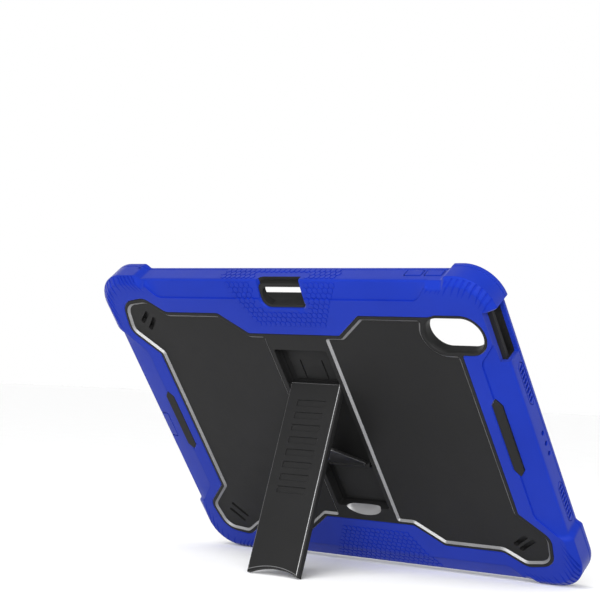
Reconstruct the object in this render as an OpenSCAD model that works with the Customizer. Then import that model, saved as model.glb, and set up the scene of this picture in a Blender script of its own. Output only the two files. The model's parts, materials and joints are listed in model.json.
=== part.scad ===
// Rugged three-layer tablet case standing on its folding kickstand.
// Every piece is modelled in the case frame: x to the right as seen from the back, y up the case,
// z out of the case's back, with z = 0 on the rim of the rear panel. stand() then leans the case
// back on its deployed kickstand, with its back towards -Y.

/* [Case] */
// Length of the case between its side walls
case_w = 265.6; // [255:0.2:280]
// Height of the case between its long walls
case_h = 202.4; // [196:0.2:212]
// Thickness from the rear rim to the front face
case_t = 15.2; // [14.8:0.2:17]
// Corner radius of the case body
case_r = 18; // [14:1:22]
// How far the corner bumpers stand proud of the walls
bumper = 2.4; // [1:0.2:4]
// How far the corner bumpers stand proud of the front face
front_proud = 0.8; // [0:0.1:1.2]

/* [Tablet] */
// Length of the tablet that the case holds
tablet_w = 247.6; // [240:0.1:250]
// Width of the tablet
tablet_h = 178.5; // [170:0.1:180]
// Thickness of the tablet
tablet_t = 6.1; // [5:0.1:6.4]
// Corner radius of the tablet
tablet_r = 17; // [10:1:20]
// How far the tablet sits below the case's centre, because the stylus lies above it
tablet_drop = 4.8; // [3:0.1:6]
// Diameter of the stylus channel
stylus_d = 9.4; // [9:0.1:10]
// Length of the stylus channel
stylus_len = 168; // [150:1:172]

/* [Kickstand] */
// Length of the leg
leg_len = 111.4; // [100:0.2:112]
// Width of the leg
leg_w = 35.8; // [30:0.2:36.4]
// Thickness of the leg
leg_t = 4.2; // [3.8:0.1:4.4]
// Angle between the deployed leg and the case
leg_angle = 54.4; // [45:0.1:60]
// Length of the brace between its pins
brace_len = 45; // [42:0.5:46]
// Width of the brace
brace_w = 31.2; // [28:0.2:32]
// Distance from the leg's sliding pin to its brace pin
leg_pivot = 34.5; // [33:0.5:36]
// Radius of the steel pins
pin_r = 0.8; // [0.6:0.05:1]

/* [Hidden] */

$fn = 48;
slip = 0.3;          // gap between pieces that move past each other
run = 0.05;          // radial running clearance of a pin
over = 1;            // how far a cutter runs past the face that it cuts

// Levels, as depths below the rear rim
panel_z = -1.2;      // recessed side panels
band_z = -0.5;       // outer band of the sleeve at the step line
crease_z = -3;       // crease between the sleeve's back and its walls
base_top = -4.6;     // top of the shell's flange under the sleeve
floor_z = -5.7;      // kickstand pocket floor
base_low = -6.8;     // inner face of the shell, where the tablet's back rests
tablet_z = base_low - tablet_t;
clip_z = -10.6;      // end of the frame's skirt
channel_top = -5.4;  // bottom of the stylus channel
window_low = -6.8;   // front edge of the stylus window in the top wall
flange_z = tablet_z - 1.1;
front_z = -case_t;
mid_z = base_low - tablet_t / 2;

// Walls, as half sizes
out_x = case_w / 2;
out_y = case_h / 2;
skin = 2.6;          // sleeve wall
shell_x = out_x - skin;
shell_y = out_y - skin;
shell_r = case_r - skin;
rim_x = out_x - 5.6;
rim_low = -out_y + 5.6;
rim_high = out_y - 4.2;
skirt = 1.3;         // thickness of the frame's skirt
play = 0.4;          // gap round the tablet
lip = 1.6;           // how far the frame covers the tablet's edge
tablet_x = tablet_w / 2 + play;
tablet_y = tablet_h / 2 + play;
stylus_y = -tablet_drop + tablet_y + 0.3 + stylus_d / 2;

// Rear panel outline
panel_x = 106.7;
panel_y = 80;
waist_y = 66.7;
notch_in = 31.6;
notch_out = 48.9;
pinch_y = 50;
strip_x = 21.3;      // half width of the raised kickstand strip
rim_w = 1.8;         // rim round the recessed panels
camera = [105.6, 68.9];
camera_half = [19.3, 12.3];
camera_rim = 2;

// Sleeve details
step_x = 116.4;
step_y = 90;
insert_x = [-116, 117.2];
insert_y = [0, 3];
insert_half_x = 3.2;
insert_half_y = [22, 26];
speaker_y = [33.2, -46];
speaker_len = 27.5;
mic_y = [0.7, -6.1, -12.7];
bead_x = [-96, -32, 32, 72];
bead_y = [-78, -20, 14];
bead_len = 12;
bead_out = 0.6;
bead_z = -11.8;
button_u = [87.4, 99.9];
button_len = 10.6;
button_tall = 5.4;
cap_t = 1.8;         // a button's cap
stem_end = tablet_y - tablet_drop + 1;
bumper_box = [34, 46];
bumper_at = [[-120, 87], [-120, -87], [120, -87], [128, 107]];
stylus_window = [-9.8, 16.8];
power_y = [52, 83];
port_y = -5.4;
port_len = 14;
slot_tall = 6.4;     // port and power-button slots
flap_len = 16.6;
flap_low = -13.4;
flap_hinge_x = -126.4;
boss = [2, 9, 3];    // plug on the inside of the flap

// Kickstand linkage in the case frame, deployed
slide_z = -2.4;      // track of the leg's sliding pin
pivot_z = -3.6;      // brace's fixed pin
brace_y = -26;
drop = 1.2;          // brace pin's extra depth in the leg
pin_down = 2.2;      // sliding pin's depth below the leg's outer face
brace_angle = asin((slide_z - pivot_z + leg_pivot * sin(leg_angle) - drop * cos(leg_angle)) / brace_len);
tip_y = brace_y + brace_len * cos(brace_angle);
tip_z = pivot_z + brace_len * sin(brace_angle);
slide_y = tip_y + leg_pivot * cos(leg_angle) + drop * sin(leg_angle);
folded_y = brace_y + brace_len + leg_pivot;
pocket_x = leg_w / 2 + 0.5;
pocket_top = folded_y + pin_down + 0.5;
pocket_low = folded_y + pin_down - leg_len - 0.5;
track_x = 20.6;
knuckle_r = 1.7;
knuckle_x = 11.8;
lug_x = 14.8;
plate_t = 1.6;
tray_half = [23, 65]; // seat of the tray in the shell
finger_x = 7.6;      // slits between the tray's three detent fingers
finger_y = [31.4, 46];
groove_low = -6.4;   // bottom of the tray's slits and side grooves
side_groove = [15, 18.3];
recess_x = 16.3;
leg_skin = 1.7;
groove_count = 8;
groove_first = 9;
groove_pitch = 7.2;
groove_w = 20;
groove_tall = 3.6;
groove_deep = 0.6;
reach = leg_len - pin_down;

// The case leans so that its lower edge and the leg's tip meet the table
edge = [-out_y - bumper, crease_z];
foot = [slide_y - reach * cos(leg_angle) - (leg_t - pin_down) * sin(leg_angle),
        slide_z + reach * sin(leg_angle) - (leg_t - pin_down) * cos(leg_angle)];
lean = atan2(foot[1] - edge[1], foot[0] - edge[0]);
rise = -edge[0] * sin(lean) + edge[1] * cos(lean);
sleeve_far = (out_y + bumper) * cos(lean) - (front_z - front_proud) * sin(lean);
toe = [slide_y - reach * cos(leg_angle) + pin_down * sin(leg_angle),
       slide_z + reach * sin(leg_angle) + pin_down * cos(leg_angle)];
top_near = -(out_y + bumper) * cos(lean) - crease_z * sin(lean);
leg_near = min(top_near, -toe[0] * cos(lean) - toe[1] * sin(lean));
shift_y = -(sleeve_far + leg_near) / 2;

module stand() translate([0, shift_y, rise]) rotate([180 - lean, 0, 0]) children();

// One rounded corner of a polygon: an arc of radius r that touches both sides at p
function unit(v) = v / norm(v);
function corner(a, p, b, r) =
    let (u = unit(a - p), v = unit(b - p), half = acos(max(-1, min(1, u * v))) / 2,
         centre = p + unit(u + v) * (r / sin(half)), turn = 90 - half,
         side = sign(u[1] * v[0] - u[0] * v[1]), steps = max(2, ceil(turn / 9)))
    [for (i = [-steps : steps])
        let (w = -unit(u + v), q = side * turn * i / steps)
        centre + r * [w[0] * cos(q) - w[1] * sin(q), w[0] * sin(q) + w[1] * cos(q)]];
function rounded(list) =
    [for (i = [0 : len(list) - 1])
        let (n = len(list), a = list[(i + n - 1) % n], p = list[i], b = list[(i + 1) % n])
        each (p[2] == 0 ? [[p[0], p[1]]] : corner([a[0], a[1]], [p[0], p[1]], [b[0], b[1]], p[2]))];

module slab(low, high) translate([0, 0, low]) linear_extrude(high - low) children();

module round_rect(half_x, y0, y1, r) {
    translate([0, (y0 + y1) / 2]) {
        square([2 * half_x, y1 - y0 - 2 * r], center = true);
        square([2 * half_x - 2 * r, y1 - y0], center = true);
        for (x = [-1, 1], y = [-1, 1])
            translate([x * (half_x - r), y * ((y1 - y0) / 2 - r)]) circle(r);
    }
}
module body_2d(grow = 0) round_rect(out_x + grow, -out_y - grow, out_y + grow, case_r + grow);
module shell_2d(grow = 0) round_rect(shell_x + grow, -shell_y - grow, shell_y + grow, shell_r + grow);
module rim_2d() round_rect(rim_x, rim_low, rim_high, 12);
module tablet_2d(grow = 0)
    round_rect(tablet_x + grow, -tablet_drop - tablet_y - grow, -tablet_drop + tablet_y + grow,
               tablet_r + grow);
module stylus_2d(grow = 0)
    translate([-4, stylus_y]) square([stylus_len + 2 * grow, stylus_d + 2 * grow], center = true);

// Outline of the black rear panel; inset moves every side inwards
lobe = [[88, 80, 6], [101, 89.5, 8], [119, 86.5, 11], [122.8, 66, 9], [106.7, pinch_y, 2]];
function flip(list, x, y) = [for (p = list) [p[0] * x, p[1] * y, p[2]]];
function back(list) = [for (i = [len(list) - 1 : -1 : 0]) list[i]];
notch = [[notch_in, waist_y, 3], [notch_out, panel_y, 3]];
module panel_2d() {
    polygon(rounded(concat(
        [[panel_x, panel_y, 2]],
        back(flip(notch, 1, 1)), flip(notch, -1, 1),
        flip(lobe, -1, 1), back(flip(lobe, -1, -1)),
        back(flip(notch, -1, -1)), flip(notch, 1, -1),
        flip(lobe, 1, -1))));
    camera_2d();
}
module camera_2d(inset = 0)
    translate(camera) round_rect(camera_half[0] - inset, -camera_half[1] + inset,
                                 camera_half[1] - inset, camera_half[1] - inset - 0.3);

// Recessed fields inside the rim, left and right of the kickstand strip
field_in = [
    [strip_x + rim_w, waist_y - rim_w, 1], [notch_in + 0.7, waist_y - rim_w, 3],
    [notch_out + 0.7, panel_y - rim_w, 3]];
lobe_in = [[88.5, 78.2, 8], [101, 87, 6], [117.6, 84.8, 9], [120.8, 66.6, 7], [104.9, 50.6, 3]];
module field_2d(side) {
    low = concat(field_in, lobe_in);
    top = side < 0 ? low : concat(field_in, [[panel_x - rim_w, panel_y - rim_w, 2]]);
    difference() {
        polygon(rounded(flip(concat(top, back(flip(low, 1, -1))), side, 1)));
        camera_2d();
    }
}

module hexagon_2d(i, grow = 0)
    translate([insert_x[i], insert_y[i]])
        polygon([for (p = [[0, 1], [1, 0.83], [1, -0.83], [0, -1], [-1, -0.83], [-1, 0.83]])
            [p[0] * (insert_half_x + grow), p[1] * (insert_half_y[i] + grow)]]);

module kick_cut() {
    slab(floor_z - over, over) round_rect(pocket_x, pocket_low, pocket_top, 1);
    for (x = [-1, 1])
        translate([x * (track_x - 1.5), (slide_y + folded_y) / 2, (floor_z - 0.9) / 2])
            cube([3, folded_y - slide_y + 2 * pin_r + 2, -0.9 - floor_z], center = true);
    slab(-2.6, over) translate([0, pocket_low - 0.5]) round_rect(12.5, -6, 6, 5.5);
}

module speaker_cut(side, y) {
    for (i = [-3.5 : 3.5])
        translate([side * out_x, y + i * speaker_len / 9, mid_z])
            cube([4 * skin + 8, speaker_len / 9 - 1.3, 4.4], center = true);
}
// Window over the top edge, where a finger pushes the stylus out
module stylus_window_cut()
    translate([stylus_window[0], step_y - 4, window_low])
        cube([stylus_window[1] - stylus_window[0], out_y, over - window_low]);

// Beads on the frame's skirt that snap into grooves in the shell's walls
module snap_beads(grow = 0) {
    for (x = bead_x, y = [-1, 1])
        translate([x, y * (shell_y - skirt), bead_z])
            cube([bead_len, 2 * bead_out, bead_out] + [2, 2, 2] * grow, center = true);
    for (y = bead_y, x = [-1, 1])
        translate([x * (shell_x - skirt), y, bead_z])
            cube([2 * bead_out, bead_len, bead_out] + [2, 2, 2] * grow, center = true);
}
module wall_cuts() {
    for (side = [-1, 1], y = speaker_y) speaker_cut(side, y);
    for (y = mic_y) translate([out_x - 8, y, mid_z]) rotate([0, 90, 0]) cylinder(12, r = 0.9);
    // Charging port
    translate([-out_x - 2, port_y - port_len / 2, mid_z - slot_tall / 2])
        cube([16, port_len, slot_tall]);
    // Power button and fingerprint sensor
    translate([out_x - 10, power_y[0], mid_z - slot_tall / 2])
        cube([13, power_y[1] - power_y[0], slot_tall]);
}

// The sleeve's outer form, before the shell's space and the openings are cut from it
module sleeve_form() {
    slab(front_z, crease_z) body_2d();
    hull() {
        slab(crease_z - 0.01, crease_z) body_2d();
        slab(band_z - 0.01, band_z) round_rect(out_x - 11, -out_y + 9, out_y - 9, 14);
    }
    slab(-2, 0) round_rect(step_x, -step_y, step_y, 12);
    intersection() {
        slab(front_z - front_proud, crease_z) body_2d(bumper);
        for (p = bumper_at)
            translate([p[0], p[1], -10]) cube([bumper_box[0], bumper_box[1], 20], center = true);
    }
}
module sleeve_space() {
    slab(flange_z, base_top) shell_2d();
    slab(front_z - over - 1, flange_z + over) rim_2d();
}
// Space of the flap over the charging port; gap widens it into the cut in the sleeve
module flap_box(gap = 0)
    translate([-out_x - 5, port_y - flap_len / 2 - gap, flap_low - gap])
        cube([out_x + 5 + flap_hinge_x + gap, flap_len + 2 * gap, over - flap_low + gap]);

// Holes through the walls for the volume buttons' stems
module stem_cuts()
    for (u = button_u)
        translate([u, out_y - 10, mid_z]) cube([button_len - 3, 40, 3], center = true);

module silicone_sleeve() color("royalblue") stand() difference() {
    sleeve_form();
    sleeve_space();
    flap_box(slip);
    slab(base_top - over, over) panel_2d();
    for (i = [0, 1]) slab(base_top - over, over) hexagon_2d(i);
    wall_cuts();
    // Notch over the power button, open to the back
    translate([out_x - 6, power_y[0], front_z + 2.4]) cube([12, power_y[1] - power_y[0], case_t - 3.6]);
    stylus_window_cut();
    // Volume buttons
    for (u = button_u)
        translate([u, out_y - skin / 2, mid_z]) cube([button_len, skin + 2, button_tall], center = true);
}

module rear_shell() color("dimgray") stand() difference() {
    union() {
        slab(base_low, base_top) shell_2d();
        slab(clip_z, base_low) difference() { shell_2d(); tablet_2d(); }
        slab(tablet_z, clip_z) difference() { shell_2d(-skirt); tablet_2d(); }
        slab(base_top, 0) panel_2d();
    }
    for (side = [-1, 1]) slab(panel_z, over) field_2d(side);
    slab(base_low - over, over) camera_2d(camera_rim);
    kick_cut();
    // Seat of the kickstand tray
    slab(base_low - over, floor_z) square(2 * tray_half, center = true);
    slab(tablet_z - over, channel_top) stylus_2d();
    stylus_window_cut();
    snap_beads(0.15);
    stem_cuts();
    wall_cuts();
}

module front_frame() color("dimgray") stand() difference() {
    union() {
        slab(flange_z, tablet_z) shell_2d();
        slab(front_z - 0.2, flange_z) rim_2d();
        slab(tablet_z, clip_z) difference() { shell_2d(); shell_2d(-skirt); }
        snap_beads();
    }
    slab(front_z - over - 1, tablet_z + over / 2) tablet_2d(-lip - play);
    slab(front_z - over - 1, tablet_z + over / 2) stylus_2d();
    wall_cuts();
    stem_cuts();
}

module left_side_insert() color("dimgray") stand() slab(base_top, -0.2) hexagon_2d(0, -0.1);
module right_side_insert() color("dimgray") stand() slab(base_top, -0.2) hexagon_2d(1, -0.1);

module kickstand_tray() color("dimgray") stand() difference() {
    union() {
        slab(base_low, floor_z) square(2 * tray_half - [0.2, 0.2], center = true);
        // Lugs of the brace's fixed pin
        for (x = [-1, 1])
            translate([x * (knuckle_x + lug_x + slip) / 2, brace_y, pivot_z]) {
                rotate([0, 90, 0]) cylinder(lug_x - knuckle_x - slip, r = knuckle_r, center = true);
                translate([0, 0, (floor_z - pivot_z) / 2 - 0.2])
                    cube([lug_x - knuckle_x - slip, 2 * knuckle_r, pivot_z - floor_z + 0.4], center = true);
            }
    }
    translate([-20, brace_y, pivot_z]) rotate([0, 90, 0]) cylinder(40, r = pin_r);
    // Slits round the three detent fingers
    for (x = [-finger_x, finger_x])
        translate([x - 0.5, finger_y[0], groove_low]) cube([1, finger_y[1] - finger_y[0], 2]);
    translate([-side_groove[0], finger_y[0], groove_low]) cube([2 * side_groove[0], 1.6, 2]);
    // Grooves along the pocket's sides
    for (x = [-1, 1])
        translate([x * (side_groove[0] + side_groove[1]) / 2, (pocket_low + pocket_top) / 2, floor_z])
            cube([side_groove[1] - side_groove[0], pocket_top - pocket_low - 2, 2 * (floor_z - groove_low)],
                 center = true);
}

module pin(length) rotate([0, 90, 0]) cylinder(length, r = pin_r, center = true);

module brace_base_pin() color("silver") stand()
    translate([0, brace_y, pivot_z]) pin(2 * lug_x);

// Brace along +y from its fixed pin to its tip pin
module brace_body() difference() {
    union() {
        translate([0, 0, -plate_t / 2]) linear_extrude(plate_t)
            polygon(rounded([[-knuckle_x, 0, 0], [-knuckle_x, 3, 0], [-brace_w / 2, 6, 1],
                [-brace_w / 2, brace_len - 6, 1], [-knuckle_x, brace_len - 3, 0],
                [-knuckle_x, brace_len, 0], [knuckle_x, brace_len, 0], [knuckle_x, brace_len - 3, 0],
                [brace_w / 2, brace_len - 6, 1], [brace_w / 2, 6, 1], [knuckle_x, 3, 0],
                [knuckle_x, 0, 0]]));
        for (y = [0, brace_len]) translate([0, y, 0])
            rotate([0, 90, 0]) cylinder(2 * knuckle_x, r = knuckle_r, center = true);
    }
    for (y = [0, brace_len]) translate([0, y, 0])
        rotate([0, 90, 0]) cylinder(40, r = pin_r + run, center = true);
}
module kickstand_brace() color("dimgray") stand()
    translate([0, brace_y, pivot_z]) rotate([brace_angle, 0, 0]) brace_body();

// Leg in its own frame: the sliding pin at the origin, the toe along -y, the outer face at z = pin_down
module in_leg() stand() translate([0, slide_y, slide_z]) rotate([-leg_angle, 0, 0]) children();
module leg_body() difference() {
    union() {
        translate([-leg_w / 2, -reach, pin_down - leg_t]) cube([leg_w, reach, leg_t]);
        intersection() {
            rotate([0, 90, 0]) cylinder(leg_w, r = pin_down, center = true);
            translate([0, pin_down, 0]) cube([leg_w, 2 * pin_down, 2 * pin_down], center = true);
        }
    }
    // Hollow underside in which the folded brace lies
    translate([-recess_x, -leg_pivot - brace_len - 3, -leg_t])
        cube([2 * recess_x, brace_len + 5.4, leg_t + pin_down - leg_skin]);
    // Hollow towards the toe
    translate([-recess_x, -reach + 6, -leg_t])
        cube([2 * recess_x, reach - leg_pivot - brace_len - 12, leg_t + pin_down - leg_skin - 0.6]);
    // Concave toe
    translate([0, -reach - 38, 0]) cylinder(20, r = 41.5, center = true, $fn = 96);
    // Row of grip grooves on the outer face
    for (i = [0 : groove_count - 1])
        translate([-groove_w / 2, -groove_first - groove_pitch * i - groove_tall, pin_down - groove_deep])
            cube([groove_w, groove_tall, groove_deep + over]);
    rotate([0, 90, 0]) cylinder(60, r = pin_r, center = true);
}
module leg_lugs() difference() {
    for (x = [-1, 1])
        translate([x * (knuckle_x + slip + recess_x + 0.4) / 2, -leg_pivot, -drop]) {
            rotate([0, 90, 0]) cylinder(recess_x + 0.4 - knuckle_x - slip, r = knuckle_r, center = true);
            translate([0, 0, (drop + pin_down - leg_skin) / 2])
                cube([recess_x + 0.4 - knuckle_x - slip, 2 * knuckle_r, drop + pin_down - leg_skin + 0.4],
                     center = true);
        }
    translate([0, -leg_pivot, -drop]) rotate([0, 90, 0]) cylinder(60, r = pin_r, center = true);
}
module kickstand_leg() color("dimgray") in_leg() {
    difference() {
        leg_body();
        translate([0, -leg_pivot, -drop])
            rotate([0, 90, 0]) cylinder(2 * recess_x + 0.2, r = pin_r, center = true);
    }
    leg_lugs();
}
module leg_brace_pin() color("silver") in_leg()
    translate([0, -leg_pivot, -drop]) pin(2 * recess_x);
module leg_slider_pin() color("silver") in_leg() pin(2 * track_x - 2 * slip);

module port_flap() color("royalblue") stand() {
    difference() {
        intersection() { sleeve_form(); flap_box(); }
        sleeve_space();
    }
    translate([-shell_x + boss[0] / 2 - 0.1, port_y, mid_z])
        cube(boss, center = true);
}

// A cap in the sleeve's wall, with a stem that reaches the tablet's edge
module volume_button(u) color("royalblue") stand() {
    translate([u, out_y + 0.1 - cap_t / 2, mid_z])
        cube([button_len - 2 * slip, cap_t, button_tall - 2 * slip], center = true);
    translate([u, (out_y - cap_t + stem_end) / 2, mid_z])
        cube([button_len - 3 - 2 * slip, out_y - cap_t - stem_end + 1, 3 - 2 * slip], center = true);
}
module volume_up_button() volume_button(button_u[1]);
module volume_down_button() volume_button(button_u[0]);

silicone_sleeve();
port_flap();
rear_shell();
front_frame();
left_side_insert();
right_side_insert();
kickstand_tray();
brace_base_pin();
kickstand_brace();
kickstand_leg();
leg_brace_pin();
leg_slider_pin();
volume_up_button();
volume_down_button();
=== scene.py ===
"""Looks of a rugged tablet case that stands on its kickstand.

Every form is drawn in millimetres in the case's own frame: u to the right as seen from the back,
v up the case, w out of the back, w = 0 on the rear rim. The record's tablet seat then places it.
A face's tag is the number of its material in its piece's list.
"""
import json
import math

import bmesh
import bpy
from mathutils import Matrix, Vector
from mathutils.geometry import delaunay_2d_cdt


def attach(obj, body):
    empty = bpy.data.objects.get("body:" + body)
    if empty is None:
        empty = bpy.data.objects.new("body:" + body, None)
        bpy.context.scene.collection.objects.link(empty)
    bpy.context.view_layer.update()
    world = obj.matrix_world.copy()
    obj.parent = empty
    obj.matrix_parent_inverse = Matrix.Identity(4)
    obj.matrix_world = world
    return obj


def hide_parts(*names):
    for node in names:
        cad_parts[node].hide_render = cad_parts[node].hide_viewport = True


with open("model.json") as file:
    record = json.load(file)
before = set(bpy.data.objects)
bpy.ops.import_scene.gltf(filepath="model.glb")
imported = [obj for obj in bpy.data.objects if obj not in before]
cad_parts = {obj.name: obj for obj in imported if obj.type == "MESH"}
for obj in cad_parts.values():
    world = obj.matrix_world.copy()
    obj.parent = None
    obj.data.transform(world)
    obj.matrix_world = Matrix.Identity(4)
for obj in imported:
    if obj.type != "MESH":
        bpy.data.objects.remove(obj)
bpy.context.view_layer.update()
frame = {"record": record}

MM = 0.001
SEAT_UVW = (60, -60, -6.8)      # the record's tablet seat in the case frame
SHARP_DEG = 38                  # edges sharper than this aren't smoothed


def case_matrix():
    seat = next(m for m in frame["record"]["mounts"] if m["name"] == "tablet_seat")
    w = -Vector(seat["axis"]).normalized()
    u = Vector((1, 0, 0))
    v = w.cross(u)
    origin = Vector(seat["pos_m"]) - (u * SEAT_UVW[0] + v * SEAT_UVW[1] + w * SEAT_UVW[2]) * MM
    m = Matrix((u * MM, v * MM, w * MM)).transposed().to_4x4()
    m.translation = origin
    return m


CASE = case_matrix()

# Case: half widths, levels and corner radii
OUT_U, OUT_V, OUT_R = 132.8, 101.2, 18
BUMPER = 2.4
FRONT_W, FRONT_PROUD = -15.2, 0.8
SHELL_U, SHELL_V, SHELL_R = 130.2, 98.6, 15.4
RIM_U, RIM_LOW, RIM_HIGH, RIM_R = 127.2, -95.6, 97, 12
BASE_TOP, BASE_LOW = -4.6, -6.8
CLIP_W, TABLET_W, FLANGE_W = -10.6, -12.9, -14.0
MID_W = -9.85
SKIRT = 1.3
TAB_U, TAB_LOW, TAB_HIGH, TAB_R = 124.2, -94.45, 84.85, 17
STYLUS = (-88.3, 80.3, 85.15, 94.55)
PANEL_W = -1.2
FLOOR_W, PLATE_W, GROOVE_W = -5.7, -5.5, -6.5
POCKET = (18.4, -56.2, 56.2)

# Kickstand
SLIDE = Vector((0, 29.8397, -2.4))
LEG_ANGLE = math.radians(54.4)
PIVOT = Vector((0, -26, -3.6))
BRACE_ANGLE = math.radians(39.3844)
LEG_X, REACH, LEG_TOP, LEG_LOW = 17.9, 109.2, 2.2, -2.0
LEG_PIVOT, BRACE_LEN = 34.5, 45
LEG_PIVOT_W = -1.2
BARREL_R, PIN_R = 1.7, 0.8
BRACE_INNER, BRACE_HALF = 11.8, 15.6
LUG_INNER, LUG_EDGE = 12.1, 0.2


# ---------------------------------------------------------------- outlines
def rounded(points, step=math.radians(8)):
    """The polygon of (x, y, radius) corners, each radius an arc."""
    out = []
    n = len(points)
    for i, (x, y, r) in enumerate(points):
        p = Vector((x, y))
        if r == 0:
            out.append(p)
            continue
        a = (Vector(points[i - 1][:2]) - p).normalized()
        b = (Vector(points[(i + 1) % n][:2]) - p).normalized()
        half = math.acos(max(-1, min(1, a.dot(b)))) / 2
        turn = math.pi / 2 - half
        mid = (a + b).normalized()
        centre = p + mid * (r / math.sin(half))
        side = 1 if a.y * b.x - a.x * b.y > 0 else -1
        steps = max(2, math.ceil(turn / step))
        for k in range(-steps, steps + 1):
            q = side * turn * k / steps
            out.append(centre + r * Vector((-mid.x * math.cos(q) + mid.y * math.sin(q),
                                            -mid.x * math.sin(q) - mid.y * math.cos(q))))
    return out


def area(loop):
    return sum(a.x * b.y - b.x * a.y for a, b in zip(loop, loop[1:] + loop[:1])) / 2


def ccw(loop):
    loop = [Vector(p) for p in loop]
    return loop if area(loop) > 0 else loop[::-1]


def offset(loop, d):
    """A counter-clockwise loop moved outwards by d."""
    if d == 0:
        return list(loop)
    out = []
    n = len(loop)
    for i in range(n):
        a, p, b = loop[i - 1], loop[i], loop[(i + 1) % n]
        e, f = (p - a).normalized(), (b - p).normalized()
        m, k = Vector((e.y, -e.x)), Vector((f.y, -f.x))
        s = m + k
        out.append(p + s * (d * 2 / max(s.length_squared, 0.6)))
    return out


def rect(u, low, high, r):
    return rounded([(u, low, r), (u, high, r), (-u, high, r), (-u, low, r)])


def box_loop(x0, x1, y0, y1, r):
    return rounded([(x0, y0, r), (x1, y0, r), (x1, y1, r), (x0, y1, r)])


def circle(r, n):
    turns = [k / n * math.tau for k in range(n)]
    return [Vector((r * math.cos(q), r * math.sin(q))) for q in turns]


def arc(r, degrees):
    return [Vector((r * math.cos(q), r * math.sin(q))) for q in map(math.radians, degrees)]


def inside(p, loop):
    hit = False
    for a, b in zip(loop, loop[1:] + loop[:1]):
        if (a.y > p.y) != (b.y > p.y) and p.x < a.x + (p.y - a.y) * (b.x - a.x) / (b.y - a.y):
            hit = not hit
    return hit


def smooth(x, a, b):
    t = max(0, min(1, (x - a) / (b - a)))
    return t * t * (3 - 2 * t)


def graph(x, points):
    """Linear interpolation through (x, y) points."""
    if x <= points[0][0]:
        return points[0][1]
    for (x0, y0), (x1, y1) in zip(points, points[1:]):
        if x <= x1:
            return y0 + (y1 - y0) * (x - x0) / (x1 - x0)
    return points[-1][1]


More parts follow.
